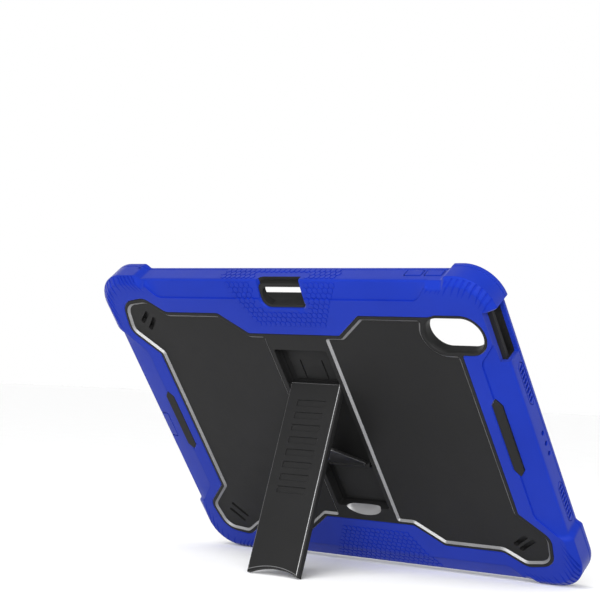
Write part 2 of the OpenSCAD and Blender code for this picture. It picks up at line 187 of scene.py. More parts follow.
# ---------------------------------------------------------------- forms
class Form:
    """Points and tagged faces of one piece; tag picks the material."""

    def __init__(self, place=None):
        self.points = []
        self.faces = []
        self.tags = []
        self.place = place or (lambda p: p)

    def add(self, loop):
        start = len(self.points)
        self.points += [Vector(p) for p in loop]
        return list(range(start, len(self.points)))

    def level(self, loop, w):
        return self.add([(p.x, p.y, w) for p in loop])

    def face(self, ids, tag=0):
        self.faces.append(tuple(ids))
        self.tags.append(tag)

    def strip(self, a, b, tag=0):
        n = len(a)
        for i in range(n):
            j = (i + 1) % n
            self.face((a[i], a[j], b[j], b[i]), tag)

    def rows(self, rows, tag=0):
        for a, b in zip(rows, rows[1:]):
            self.strip(a, b, tag)
        return rows[0], rows[-1]

    def closed(self, rows, tag=0):
        """Strips through the rows, with a face over the first and the last."""
        self.rows(rows, tag)
        self.face(rows[0][::-1], tag)
        self.face(rows[-1], tag)

    def sweep(self, loop, profile):
        """Rows of the loop at each (offset, level) of the profile."""
        return self.rows([self.level(offset(loop, d), w) for d, w in profile])

    def fill(self, outer, holes=()):
        """Flat faces between an outer loop and its holes, given as point numbers."""
        ids = list(outer) + [i for h in holes for i in h]
        edges = []
        for loop in [outer, *holes]:
            for i in range(len(loop)):
                edges.append((loop[i], loop[(i + 1) % len(loop)]))
        where = {i: k for k, i in enumerate(ids)}
        flat = [Vector(self.points[i][:2]) for i in ids]
        points, _, faces, origins, *_ = delaunay_2d_cdt(
            flat, [(where[a], where[b]) for a, b in edges], [], 0, 1e-5)
        ring = [Vector(self.points[i][:2]) for i in outer]
        gaps = [[Vector(self.points[i][:2]) for i in h] for h in holes]
        bad = [tuple(round(c, 2) for c in q) for q, origin in zip(points, origins) if not origin]
        if bad:
            raise ValueError(f"outline crosses itself near {bad[:6]}")
        for tri in faces:
            mid = sum((points[k] for k in tri), Vector((0, 0))) / len(tri)
            if inside(mid, ring) and not any(inside(mid, g) for g in gaps):
                self.face([ids[origins[k][0]] for k in tri])

    def prism(self, loop, low, high, bevel=0.0, low_bevel=0.0, tag=0, bevel_tag=None, segs=2):
        """A closed prism with rounded edges at its top and bottom."""
        loop = ccw(loop)
        prof = []
        if low_bevel:
            for k in range(segs + 1):
                q = k / segs * math.pi / 2
                prof.append((-low_bevel * (1 - math.sin(q)), low + low_bevel * (1 - math.cos(q))))
        else:
            prof.append((0, low))
        if bevel:
            for k in range(segs + 1):
                q = k / segs * math.pi / 2
                prof.append((-bevel * (1 - math.cos(q)), high - bevel * (1 - math.sin(q))))
        else:
            prof.append((0, high))
        rows = [self.level(offset(loop, d), w) for d, w in prof]
        top_rows = segs + 1 if bevel else 1
        for i, (a, b) in enumerate(zip(rows, rows[1:])):
            edge = bevel_tag is not None and bevel and i >= len(rows) - top_rows
            self.strip(a, b, bevel_tag if edge else tag)
        self.face(rows[0][::-1], tag)
        self.face(rows[-1], tag)

    def bar(self, path, radii, sides, tag, squash):
        """A closed tube along path with the given radii, its height squash times its width."""
        rows = []
        for i, p in enumerate(path):
            a, b = path[max(i - 1, 0)], path[min(i + 1, len(path) - 1)]
            t = (Vector(b) - Vector(a)).normalized()
            s = t.cross(Vector((0, 0, 1))).normalized()
            n = s.cross(t)
            turns = [k / sides * math.tau for k in range(sides)]
            rows.append(self.add([
                Vector(p) + radii[i] * (s * math.cos(q) + n * squash * math.sin(q))
                for q in turns]))
        self.closed(rows, tag)

    def join(self, other, move=lambda p: p):
        start = len(self.points)
        self.points += [move(p) for p in other.points]
        self.faces += [tuple(i + start for i in f) for f in other.faces]
        self.tags += other.tags

    def mesh(self, name):
        me = bpy.data.meshes.new(name)
        for m in MATS:
            me.materials.append(m)
        me.from_pydata([self.place(p) for p in self.points], [], self.faces)
        me.polygons.foreach_set("material_index", self.tags)
        bm = bmesh.new()
        bm.from_mesh(me)
        bmesh.ops.remove_doubles(bm, verts=bm.verts, dist=1e-4)
        bmesh.ops.dissolve_degenerate(bm, edges=bm.edges, dist=1e-5)
        bmesh.ops.recalc_face_normals(bm, faces=bm.faces)
        bm.to_mesh(me)
        bm.free()
        return me


def carve(me, tools, kinds, own=False):
    """The mesh after a boolean operation with each tool form.

    own is for tools that overlap themselves.
    """
    obj = bpy.data.objects.new("work", me)
    bpy.context.scene.collection.objects.link(obj)
    extra = []
    for i, (tool, kind) in enumerate(zip(tools, kinds)):
        cutter = bpy.data.objects.new(f"tool_{i}", tool.mesh(f"tool_{i}"))
        bpy.context.scene.collection.objects.link(cutter)
        extra.append(cutter)
        mod = obj.modifiers.new(f"cut_{i}", "BOOLEAN")
        mod.operation = kind
        mod.solver = "EXACT"
        mod.use_self = own
        mod.object = cutter
    bpy.context.view_layer.update()
    graph_now = bpy.context.evaluated_depsgraph_get()
    done = bpy.data.meshes.new_from_object(obj.evaluated_get(graph_now))
    for o in [obj, *extra]:
        bpy.data.objects.remove(o)
    return done


def piece(name, me, materials, body, nodes):
    """Places a mesh drawn in the case frame as a finished, smooth-shaded piece."""
    me.transform(CASE)
    me.name = name
    for i, m in enumerate(materials):
        me.materials[i] = m
    while len(me.materials) > len(materials):
        me.materials.pop()
    bm = bmesh.new()
    bm.from_mesh(me)
    bmesh.ops.remove_doubles(bm, verts=bm.verts, dist=2e-7)
    bmesh.ops.recalc_face_normals(bm, faces=bm.faces)
    for f in bm.faces:
        f.smooth = True
    bm.to_mesh(me)
    bm.free()
    me.set_sharp_from_angle(angle=math.radians(SHARP_DEG))
    obj = bpy.data.objects.new(name, me)
    bpy.context.scene.collection.objects.link(obj)
    mod = obj.modifiers.new("normals", "WEIGHTED_NORMAL")
    mod.keep_sharp = True
    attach(obj, body)
    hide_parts(*nodes)
    return obj


# ---------------------------------------------------------------- materials
def nodes_of(name):
    mat = bpy.data.materials.new(name)
    mat.use_nodes = True
    tree = mat.node_tree
    tree.nodes.clear()
    out = tree.nodes.new("ShaderNodeOutputMaterial")
    shader = tree.nodes.new("ShaderNodeBsdfPrincipled")
    tree.links.new(shader.outputs[0], out.inputs[0])
    coord = tree.nodes.new("ShaderNodeTexCoord")
    return mat, tree, shader, coord


def noise(tree, coord, scale, detail=2.0, rough=0.5):
    n = tree.nodes.new("ShaderNodeTexNoise")
    n.inputs["Scale"].default_value = scale
    n.inputs["Detail"].default_value = detail
    n.inputs["Roughness"].default_value = rough
    tree.links.new(coord.outputs["Object"], n.inputs["Vector"])
    return n.outputs["Fac"]


def ramp(tree, fac, stops):
    r = tree.nodes.new("ShaderNodeValToRGB")
    tree.links.new(fac, r.inputs[0])
    while len(r.color_ramp.elements) < len(stops):
        r.color_ramp.elements.new(0.5)
    for e, (pos, col) in zip(r.color_ramp.elements, stops):
        e.position = pos
        e.color = (*col, 1)
    return r.outputs[0]


def span(tree, fac, low, high):
    m = tree.nodes.new("ShaderNodeMapRange")
    m.inputs["To Min"].default_value = low
    m.inputs["To Max"].default_value = high
    m.inputs["From Min"].default_value = 0.3
    m.inputs["From Max"].default_value = 0.7
    tree.links.new(fac, m.inputs["Value"])
    return m.outputs[0]


def bump(tree, shader, fac, strength, distance, below=None):
    b = tree.nodes.new("ShaderNodeBump")
    b.inputs["Strength"].default_value = strength
    b.inputs["Distance"].default_value = distance
    tree.links.new(fac, b.inputs["Height"])
    if below:
        tree.links.new(below, b.inputs["Normal"])
    tree.links.new(b.outputs[0], shader.inputs["Normal"])
    return b.outputs[0]


PATCH = 18.0        # scale of the slow changes of colour


def surface(name, dark, light, rough, grain, grain_strength, metallic=0.0, specular=0.5, sheen=0.0):
    """Moulded surface: clouded colour, smudged roughness and two sizes of grain."""
    mat, tree, shader, coord = nodes_of(name)
    cloud = noise(tree, coord, PATCH, 4, 0.6)
    fine = noise(tree, coord, grain, 2, 0.6)
    smudge = noise(tree, coord, PATCH * 4, 5, 0.65)
    tree.links.new(ramp(tree, cloud, [(0.3, dark), (0.7, light)]), shader.inputs["Base Color"])
    tree.links.new(span(tree, smudge, *rough), shader.inputs["Roughness"])
    shader.inputs["Metallic"].default_value = metallic
    shader.inputs["Specular IOR Level"].default_value = specular
    shader.inputs["Sheen Weight"].default_value = sheen
    shader.inputs["Sheen Roughness"].default_value = 0.4
    low = bump(tree, shader, fine, grain_strength, 0.0002)
    bump(tree, shader, noise(tree, coord, grain * 0.14, 2, 0.5), grain_strength * 0.35, 0.0006, low)
    return mat


BLUE = surface("blue_silicone", (0.0026, 0.0135, 0.180), (0.0033, 0.0160, 0.205), (0.42, 0.52),
               2600, 0.10, specular=0.05, sheen=0.16)
# Darker, rougher blue that carries painted shade in grooves, holes, slots, creases and the flanks of
# the honeycomb cells
BLUE_PAINTED_SHADE = surface("blue_painted_shade", (0.002, 0.011, 0.17), (0.003, 0.014, 0.21), (0.6, 0.7),
                    2600, 0.1, specular=0.05)
BLACK = surface("black_plastic", (0.0072, 0.0072, 0.0073), (0.0082, 0.0082, 0.0083), (0.42, 0.52),
                3200, 0.12, specular=0.12)
GLOSS = surface("black_polished_edge", (0.20, 0.20, 0.203), (0.26, 0.26, 0.263), (0.40, 0.50),
                3200, 0.03, metallic=0.85)
EDGE = surface("black_satin_edge", (0.13, 0.13, 0.132), (0.18, 0.18, 0.182), (0.36, 0.46),
               3200, 0.03, metallic=0.7)
STEEL = surface("steel", (0.42, 0.42, 0.43), (0.55, 0.55, 0.56), (0.22, 0.34),
                900, 0.05, metallic=1.0)
MATS = [BLUE, BLACK, GLOSS]     # places for the tags, until piece() puts in the real ones
FLOOR_MAT = surface("studio_floor", (0.88, 0.88, 0.88), (0.90, 0.90, 0.90), (0.7, 0.8), 60, 0.0)


# ---------------------------------------------------------------- panel outlines
LOBE = [(88, 80, 6), (101, 89.5, 8), (119, 86.5, 11), (122.8, 66, 9), (106.7, 50, 2)]
LOBE_IN = [(88.5, 78.2, 8), (101, 87, 6), (117.6, 84.8, 9), (120.8, 66.6, 7), (104.9, 50.6, 3)]
NOTCH = [(31.6, 66.7, 3), (48.9, 80, 3)]
NOTCH_IN = [(32.3, 64.9, 3), (49.6, 78.2, 3)]
CAMERA = Vector((105.6, 68.9))
CAMERA_HALF = (19.3, 12.3)
CAMERA_LAND = 12.9              # radius of the flat round the camera opening's left end
FIELD_U, FIELD_V, FIELD_R = 21.3, 64.9, 1.9


def mirror(points, x, y):
    return [(px * x, py * y, r) for px, py, r in points]


def flip(points, x, y):
    """Mirrored points, in the order that keeps the outline's direction."""
    out = mirror(points, x, y)
    return out if x * y > 0 else out[::-1]


def camera_loop(inset):
    x, y = CAMERA_HALF[0] - inset, CAMERA_HALF[1] - inset
    r = y - 0.01
    return [p + CAMERA for p in rounded([(x, -y, r), (x, y, r), (-x, y, r), (-x, -y, r)],
                                        math.radians(4))]


panel_loop = ccw(rounded(
    [(124.9, 56.6, 12.2), (124.9, 81.2, 12.2), (98.0, 81.2, 7), (93.4, 80, 3)]
    + flip(NOTCH, 1, 1)[::-1] + flip(NOTCH, -1, 1)[::-1]
    + flip(LOBE, -1, 1)[::-1] + flip(LOBE, -1, -1)[::-1]
    + flip(NOTCH, -1, -1)[::-1] + flip(NOTCH, 1, -1)[::-1]
    + flip(LOBE, 1, -1)[::-1] + [(106.7, 56.6, 1.4)]))

camera_arc = [(CAMERA.x - 7 + CAMERA_LAND * math.cos(q), CAMERA.y + CAMERA_LAND * math.sin(q), 0)
              for q in [math.radians(a) for a in range(266, 169, -6)]]
right_field = ccw(rounded(
    [(FIELD_U, -FIELD_V, FIELD_R)] + mirror(NOTCH_IN, 1, -1) + mirror(LOBE_IN, 1, -1)
    + [(104.9, 56.0, FIELD_R)] + camera_arc + [(88.2, 78.2, FIELD_R)]
    + NOTCH_IN[::-1] + [(FIELD_U, FIELD_V, FIELD_R)]))
left_field = ccw(rounded(
    [(-FIELD_U, FIELD_V, FIELD_R)] + mirror(NOTCH_IN, -1, 1) + mirror(LOBE_IN, -1, 1)
    + mirror(LOBE_IN[::-1], -1, -1) + mirror(NOTCH_IN[::-1], -1, -1)
    + [(-FIELD_U, -FIELD_V, FIELD_R)]))
INSERTS = [((-116, 0), (3.2, 22)), ((117.2, 3), (3.2, 26))]     # centre and half size
INSERT_SHAPE = [(0, 1, 0.6), (1, 0.83, 1.2), (1, -0.83, 1.2),
                (0, -1, 0.6), (-1, -0.83, 1.2), (-1, 0.83, 1.2)]


def insert_loop(i, grow=0.0):
    (cx, cy), (hx, hy) = INSERTS[i]
    return ccw(rounded([(cx + x * (hx + grow), cy + y * (hy + grow), r)
                        for x, y, r in INSERT_SHAPE]))


# ---------------------------------------------------------------- blue sleeve
STATION_PITCH, CORNER_STEPS = 1.0, 20


def stations():
    """(side, position along it) of each point round the outline, counter-clockwise from the right.

    A corner's position is counted in quarter turns.
    """
    out = []
    for turn, side in enumerate(("right", "top", "left", "bottom")):
        half = (OUT_V if side in ("right", "left") else OUT_U) - OUT_R
        n = round(2 * half / STATION_PITCH)
        for k in range(n + 1):
            out.append((side, -half + 2 * half * k / n))
        for k in range(1, CORNER_STEPS):
            out.append(("corner", turn + k / CORNER_STEPS))
    return out


STATIONS = stations()


def base(u, low, high, r):
    """Each station's point and outward normal on a rounded rectangle."""
    mid, half_v = (low + high) / 2, (high - low) / 2
    su = (u - r) / (OUT_U - OUT_R)
    sv = (half_v - r) / (OUT_V - OUT_R)
    out = []
    for side, s in STATIONS:
        if side == "right":
            out.append((Vector((u, mid + s * sv)), Vector((1, 0))))
        elif side == "top":
            out.append((Vector((-s * su, high)), Vector((0, 1))))
        elif side == "left":
            out.append((Vector((-u, mid - s * sv)), Vector((-1, 0))))
        elif side == "bottom":
            out.append((Vector((s * su, low)), Vector((0, -1))))
        else:
            q = s * math.pi / 2
            n = Vector((math.cos(q), math.sin(q)))
            cu = (u - r) * (1 if int(s) in (0, 3) else -1)
            cv = mid + (half_v - r) * (1 if int(s) in (0, 1) else -1)
            out.append((Vector((cu, cv)) + n * r, n))
    return out


def kind(side, s):
    """(distance from the wall to the step line, how proud the back is, share of the bumper)."""
    if side == "corner":
        return 3.0, 1.0, 1.0
    if side in ("top", "bottom"):
        u = -s if side == "top" else s
        if side == "top" and u > 0:
            line = graph(u, [(88.6, 90), (91.5, 91.6), (101.2, 102.2)])
            far = smooth(u, 97.5, 100.5)
            knob = graph(u, [(107.0, 0), (107.6, 0.06), (109.4, 0.94), (110.0, 1)])
        else:
            line = graph(abs(u), [(87.3, 90), (89.9, 91.1), (93.4, 94.8), (96.8, 100.3)])
            far = smooth(abs(u), 94.5, 98)
            knob = graph(abs(u), [(99.2, 0), (99.8, 0.04), (103.0, 0.95), (103.6, 1)])
        return max(OUT_V - line, 2.6), far, knob
    v = s if side == "right" else -s
    line = graph(abs(v), [(50, 116.4), (53, 117.6), (57.7, 122), (65.4, 128.7), (68, 130)])
    far = smooth(abs(v), 63.5, 67.5)
    if side == "right" and v > 0:
        knob = smooth(v, 83.0, 84.2)
    else:
        knob = graph(abs(v), [(62, 0), (62.6, 0.04), (65.6, 0.95), (66.2, 1)])
    return OUT_U - line, far, knob


# A bumper's rear edge: offset from its outline, level
BUMPER_EDGE = [(-5.4, 0), (-4.6, -0.05), (-3.9, -0.28), (-2.6, -1.12), (-1.3, -2.08), (-0.5, -2.64),
               (-0.14, -2.9), (-0.02, -3.06), (0, -3.5)]


def sleeve_rows():
    """(offset, level) of each row at each station, from the step line over the wall to the front."""
    table = []
    for side, s in STATIONS:
        d, far, knob = kind(side, s)
        b = BUMPER * knob
        k = min(1, d / 3)
        plain = [(-d, 0), (-d + 0.10 * k, -0.12), (-d + 0.25 * k, -0.80), (-d + 0.60 * k, -0.88),
                 (-(d - 0.6 * k) * 0.55 - 0.45, -1.6), (-1.0, -2.55), (-0.5, -2.85),
                 (-0.12, -3.35), (0, -4.1)]
        proud = [(b + x, w) for x, w in BUMPER_EDGE]
        rows = [(p[0] + (q[0] - p[0]) * far, p[1] + (q[1] - p[1]) * far)
                for p, q in zip(plain, proud)]
        f = FRONT_W - FRONT_PROUD * knob
        rows += [(b, -6.0), (b, -9.5), (b, -12.45), (b - 0.4, -12.7), (b - 0.4, -12.85), (b, -13.1),
                 (b, f + 1.0), (b - 0.25, f + 0.35), (b - 0.9, f), (-2.2, f)]
        table.append(rows)
    return table


STEP_STRIPS = (0, 1, 2)         # the strips that make the step line, from its top
GROOVE_STRIPS = (11, 12)        # the strips in the groove round the wall
STEP_GONE = 0.35                # the back is this proud where the step line has faded


def sleeve_form():
    form = Form()
    outline = base(OUT_U, -OUT_V, OUT_V, OUT_R)
    table = sleeve_rows()
    rows = []
    for k in range(len(table[0])):
        rows.append(form.add([(p.x + n.x * t[k][0], p.y + n.y * t[k][0], t[k][1])
                              for (p, n), t in zip(outline, table)]))
    rim = base(RIM_U, RIM_LOW, RIM_HIGH, RIM_R)
    shell = base(SHELL_U, -SHELL_V, SHELL_V, SHELL_R)
    fronts = [t[-1][1] for t in table]
    for out, rise in ((0.6, 0), (0.15, 0.2), (0, 0.6)):
        rows.append(form.add([(p.x + n.x * out, p.y + n.y * out, f + rise)
                              for (p, n), f in zip(rim, fronts)]))
    for line, w in ((rim, FLANGE_W), (shell, FLANGE_W), (shell, BASE_TOP)):
        rows.append(form.add([(p.x, p.y, w) for p, n in line]))
    form.rows(rows)
    # Painted shade: the step line's strips, where the back isn't proud, and the groove round the
    # wall take the darker blue
    for i, (side, s) in enumerate(STATIONS):
        deep = STEP_STRIPS if kind(side, s)[1] < STEP_GONE else ()
        for k in (*deep, *GROOVE_STRIPS):
            form.tags[k * len(outline) + i] = 1
    top, low = form.sweep(panel_loop, [(0.55, 0), (0.3, -0.08), (0.15, -0.35), (0.12, BASE_TOP)])
    form.fill(rows[0], [top])
    form.fill(rows[-1], [low])
    return form


# Grooves between the ribs of a bumper: (outer end, inner end)
RIBS_A = [((-105, 102.7), (-97.5, 93.1)), ((-108, 102.8), (-100.4, 93.6)),
          ((-111, 102.7), (-103.3, 94)), ((-113.6, 102.6), (-107.2, 94.4)),
          ((-116, 102.4), (-110.9, 94.7)), ((-119.8, 101.6), (-115.7, 93.2)),
          ((-123.5, 100.2), (-120.4, 90.4)), ((-126.7, 98.4), (-124.2, 87.5)),
          ((-129.4, 96.0), (-125.8, 82.4)), ((-131.3, 93.2), (-126.4, 76.4)),
          ((-132.9, 89.8), (-127.2, 71)), ((-133.8, 86.2), (-127.6, 67))]
RIBS_TR = [((101.3, 99.2), (96.6, 94.8)), ((104.3, 99.2), (99.7, 94.8)),
           ((107.3, 99.2), (102.7, 94.6)), ((110.9, 101.4), (104.4, 94)),
           ((114.5, 102.2), (106.9, 93.1)), ((118, 101.8), (111.8, 93.1)),
           ((121.3, 101.1), (115.7, 92.6)), ((124.4, 99.8), (117.9, 92)),
           ((127.4, 98.2), (121.9, 91.4)), ((130.2, 96.1), (125, 88.5)),
           ((132.4, 93.2), (126, 86.1)), ((133.7, 89.8), (127.4, 83.1))]
RIB_STEPS, RIB_BOW = 8, 0.02


def drop_at(p):
    """Level of a proud corner's back at p, which rounds down towards the bumper's outline."""
    hx, hy, r = OUT_U + BUMPER, OUT_V + BUMPER, OUT_R + BUMPER
    q = Vector((max(abs(p.x) - (hx - r), 0), max(abs(p.y) - (hy - r), 0)))
    gap = r - q.length if q.x and q.y else min(hx - abs(p.x), hy - abs(p.y))
    return graph(-gap, BUMPER_EDGE)


def ribs_form():
    form = Form()
    for x, y, ribs in ((1, 1, RIBS_A), (1, -1, RIBS_A), (-1, -1, RIBS_A), (1, 1, RIBS_TR)):
        for a, b in ribs:
            a, b = Vector((a[0] * x, a[1] * y)), Vector((b[0] * x, b[1] * y))
            d = (a - b).normalized()
            bow = RIB_BOW * (a - b).length * (1 if a.x * a.y * b.x * b.y > 0 else -1)
            side = Vector((-d.y, d.x)) * bow
            path = []
            radii = []
            for k in range(RIB_STEPS + 1):
                t = k / RIB_STEPS
                p = b.lerp(a, t) + side * (4 * t * (1 - t)) * (1 if a.x > 0 else -1)
                w = drop_at(p)
                path.append((p.x, p.y, w + 0.22 - 0.20 * t))
                radii.append(0.36 + 0.38 * t)
            p = a + d * 0.8
            path.append((p.x, p.y, drop_at(p) + 0.2))
            radii.append(0.6)
            # The rib grooves take tag 1, the darker blue of painted shade
            form.bar(path, radii, 10, 1, squash=0.62)
    return form


# Speaker grilles: levels of outline and slots, length of a slanted end, slots
GRILLE_W = (-12.2, -7.4)
SLOT_W = (-11.5, -8.1)
GRILLE_END = 2.6
SLOT_COUNT, SLOT_HALF, SLOT_LEAN = 8, 0.95, 0.55


def grille(side, v0, v1):
    """Outline recess and slanted slots of a speaker grille in the left or right wall."""
    def place(p):
        return Vector((side * (OUT_U + p.z), p.x, p.y))
    recess, slots = Form(place), Form(place)
    w0, w1 = GRILLE_W
    mid = (w0 + w1) / 2
    a, b = v0 + GRILLE_END, v1 - GRILLE_END
    ends = ccw(rounded([(v0, mid, 0.8), (a, w0, 1.2), (b, w0, 1.2),
                        (v1, mid, 0.8), (b, w1, 1.2), (a, w1, 1.2)]))
    ring = [recess.level(offset(ends, d), z)
            for d, z in ((0.2, -0.6), (0.35, 1.5), (-0.35, 1.5), (-0.2, -0.6))]
    # The recess walls take tag 1, the darker blue of painted shade
    recess.rows(ring + ring[:1], 1)
    pitch = (v1 - v0 - 5) / SLOT_COUNT
    (w0, w1), half = SLOT_W, SLOT_HALF
    for k in range(SLOT_COUNT):
        c = v0 + 2.5 + pitch * (k + 0.5)
        low, high = c + SLOT_LEAN, c - SLOT_LEAN
        # The slots' walls take tag 1, painted shade as well
        slots.prism(rounded([(low - half, w0, 0.3), (low + half, w0, 0.3),
                             (high + half, w1, 0.3), (high - half, w1, 0.3)]), -4.5, 1.0, tag=1)
    return recess, slots


def box_form(lo, hi, tag=0):
    form = Form()
    corners = ((lo[0], lo[1]), (hi[0], lo[1]), (hi[0], hi[1]), (lo[0], hi[1]))
    form.prism([Vector(c) for c in corners], lo[2], hi[2], tag=tag)
    return form


BUTTONS = {"volume_down_button": 87.4, "volume_up_button": 99.9}    # place along the top wall
BUTTON_HALF, BUTTON_W = 5.3, (-12.5, -7.2)
GRILLES = [(side, v0, v0 + 27.8) for side in (-1, 1) for v0 in (19.2, -59.9)]
MIC_V = (0.7, -6.1, -12.7)
MIC_R, MIC_SIDES = 1.25, 20
PORT_V = -5.4
FLAP = (-126.4, -13.4, 16.6)    # inner face, lowest level, length along the wall
FLAP_GAP = 0.75
POWER_V = (52, 83.6)            # the notch over the power button
# The stylus window, from its ledge out to the rim: left edge, growth, level
WINDOW_STEPS = ((-9.9, 0, -5.9), (-11.4, 0, -5.4), (-12.6, 0, -4.4), (-13.3, 0, -2.9),
                (-13.5, 0.2, -1.2), (-13.5, 0.7, -0.35), (-13.5, 1.7, 0.3), (-13.5, 2.0, 2))
WINDOW_RIGHT, WINDOW_LOW, WINDOW_HIGH = 16.1, 84.6, 106


def button_loop(u, grow):
    half = BUTTON_HALF + grow
    return ccw(box_loop(u - half, u + half, BUTTON_W[0] - grow, BUTTON_W[1] + grow, 0.7))


def to_top(p):
    return Vector((p.x, OUT_V + p.z, p.y))


def sleeve_openings():
    cuts = Form()
    rows = []
    for left, grow, w in WINDOW_STEPS:
        window = ccw(rounded([(left, WINDOW_HIGH, 0), (left, WINDOW_LOW, 6),
                              (WINDOW_RIGHT, WINDOW_LOW, 2.5), (WINDOW_RIGHT, WINDOW_HIGH, 0)]))
        rows.append(cuts.level(offset(window, grow), w))
    # The window's ledge shows black in the photograph
    cuts.rows(rows[:3], 2)
    cuts.rows(rows[2:])
    cuts.face(rows[0][::-1], 2)
    cuts.face(rows[-1])
    for i in (0, 1):
        cuts.closed([cuts.level(offset(insert_loop(i), d), w) for d, w in
                     ((0.1, -6), (0.1, -0.9), (0.2, -0.5), (0.5, 0), (0.5, 1.5))])
    # Notch over the power button
    notch = Form(lambda p: Vector((p.z, p.x, p.y)))
    low, high = POWER_V
    notch.prism(rounded([(low, -12.8, 1.0), (high, -12.8, 1.0), (high, 3, 0), (low, 3, 0)]),
                127.3, 140)
    cuts.join(notch, notch.place)
    for side, v0, v1 in GRILLES:
        _, slots = grille(side, v0, v1)
        cuts.join(slots, slots.place)
    for v in MIC_V:
        hole = Form(lambda p: Vector((p.z, p.x + v, p.y + MID_W)))
        rows = [hole.level([q * r for q in circle(1, MIC_SIDES)], z) for r, z in
                ((MIC_R, OUT_U - 4), (MIC_R, OUT_U - 0.2), (1.5, OUT_U + 0.1), (1.55, OUT_U + 1))]
        # The hole's walls and floor take tag 1, the darker blue of painted shade
        hole.rows(rows, 1)
        hole.face(rows[0][::-1], 1)
        hole.face(rows[-1])
        cuts.join(hole, hole.place)
    for u in BUTTONS.values():
        hole = Form(to_top)
        hole.closed([hole.level(offset(button_loop(u, 0), d), z) for d, z in
                     ((0.3, -4), (0.3, -0.3), (0.5, 0.05), (0.6, 1))])
        cuts.join(hole, hole.place)
    reach = FLAP[2] / 2 + FLAP_GAP
    # The walls of the gap round the port flap take tag 1, the darker blue of painted shade
    cuts.join(box_form((-140, PORT_V - reach, FLAP[1] - 0.35),
                       (FLAP[0] + 0.02, PORT_V + reach, 2), 1))
    # A small hole for a strap in the top left bumper
    strap = Form(lambda p: Vector((p.x - 104.9, p.z, p.y - 10.9)))
    strap.prism(box_loop(-1.1, 1.1, -0.7, 0.7, 0.5), 101.6, 106)
    cuts.join(strap, strap.place)
    return cuts


def recess_cuts():
    cuts = Form()
    for side, v0, v1 in GRILLES:
        recess, _ = grille(side, v0, v1)
        cuts.join(recess, recess.place)
    return cuts


HEX_U, HEX_V = 3.45, 3.0        # pitch of the honeycomb along and across its rows
HEX_CELL = ((1.725, 1.0), (0, 2.0), (-1.725, 1.0), (-1.725, -1.0), (0, -2.0), (1.725, -1.0))
HEX_LEVELS = ((0.01, -0.25), (0.01, 0.09), (0.26, 0.09), (0.32, 0.29), (0.44, 0.36))
HEX_ZONE = ((-24.5, 73.0), (25.5, 73.0), (42.9, 99.8), (-39.9, 99.8))
STEP_V = 90                     # the step line above and below the kickstand


def hex_form():
    """Raised honeycomb cells on the back and the long walls, above and below the kickstand."""
    form = Form()
    hexa = [Vector(p) for p in HEX_CELL]
    zone = ccw(HEX_ZONE)

    def back_level(v):
        return graph(abs(v), [(90.0, 0.0), (90.3, -0.85), (100.2, -2.55)])

    def cell(centre, lift):
        """A cell with a plain top; its flanks and foot take the darker blue of painted shade."""
        loops = [form.add([lift(centre + p, z) for p in offset(hexa, -inset)])
                 for inset, z in HEX_LEVELS]
        form.face(loops[0][::-1])
        form.rows(loops[:-1], 1)
        form.strip(loops[-2], loops[-1])
        form.face(loops[-1])

    for sign in (1, -1):
        for j in range(9):
            v = 74.2 + j * HEX_V
            for i in range(-14, 15):
                u = (i + 0.5 * (j % 2)) * HEX_U
                in_zone = all(inside(Vector((u + dx, v + dy)), zone) for dx, dy in
                              ((-1.2, -1.2), (1.2, -1.2), (0, 0)))
                if not in_zone or v > 98.3:
                    continue
                # Clear of the stylus window
                if sign > 0 and (-18.2 if v > 84 else -15) < u < 18.2 and v > 82:
                    continue
                across = v < STEP_V < v + 2.0

                def lift(p, z, across=across):
                    w = back_level(p.y)
                    if across:
                        w = graph(p.y, [(90.1, 0.0), (91.3, -0.45)]) + (z * 2 if z < 0 else 0)
                    elif STEP_V < p.y < 90.4:
                        w = back_level(90.3)
                    return (p.x, sign * p.y, w + z)
                cell(Vector((u, v)), lift)
        for j in range(3):
            w = -5.5 - j * HEX_V
            for i in range(-12, 13):
                u = (i + 0.5 * (j % 2)) * HEX_U
                if abs(u) > 40 or (sign > 0 and -16.5 < u < 19 and w > -9.0):
                    continue
                cell(Vector((u, w)), lambda p, z: (p.x, sign * (OUT_V + z), p.y))
    return form


def make_sleeve():
    me = sleeve_form().mesh("sleeve")
    me = carve(me, [ribs_form()], ["DIFFERENCE"], own=True)
    me = carve(me, [recess_cuts(), sleeve_openings()], ["DIFFERENCE"] * 2)
    cells = hex_form().mesh("cells")
    bm = bmesh.new()
    bm.from_mesh(me)
    bm.from_mesh(cells)
    bm.to_mesh(me)
    bm.free()
    return piece("sleeve", me, [BLUE, BLUE_PAINTED_SHADE, BLACK], "case", ["silicone_sleeve"])


def make_flap():
    """The flap over the charging port: a strip of the sleeve's wall with a plug inside."""
    half = FLAP[2] / 2
    outer = [(-6.4, -1.62), (-3.7, -2.06), (-1.0, -2.5), (-0.5, -2.85), (-0.12, -3.35),
             (0, -4.1), (0, -9.5), (0, -13.0), (-0.4, FLAP[1])]
    inner = [(-2.6, FLAP[1]), (-2.6, -4.6), (-6.4, -4.6)]
    loop = ccw(outer + inner)
    form = Form(lambda p: Vector((-(OUT_U + p.x), PORT_V + p.z, p.y)))
    form.closed([form.level(offset(loop, d), z) for d, z in
                 ((-0.25, -half), (-0.08, -half + 0.08), (0, -half + 0.25),
                  (0, half - 0.25), (-0.08, half - 0.08), (-0.25, half))])
    plug = Form(lambda p: Vector((-SHELL_U + p.z, p.x + PORT_V, p.y + MID_W)))
    plug.prism(box_loop(-4.5, 4.5, -1.5, 1.5, 1.2), -0.3, 2.0, 0.4)
    me = form.mesh("flap")
    tool = Form()
    tool.join(plug, plug.place)
    me = carve(me, [tool], ["UNION"])
    return piece("port_cover", me, [BLUE], "port_flap", ["port_flap"])


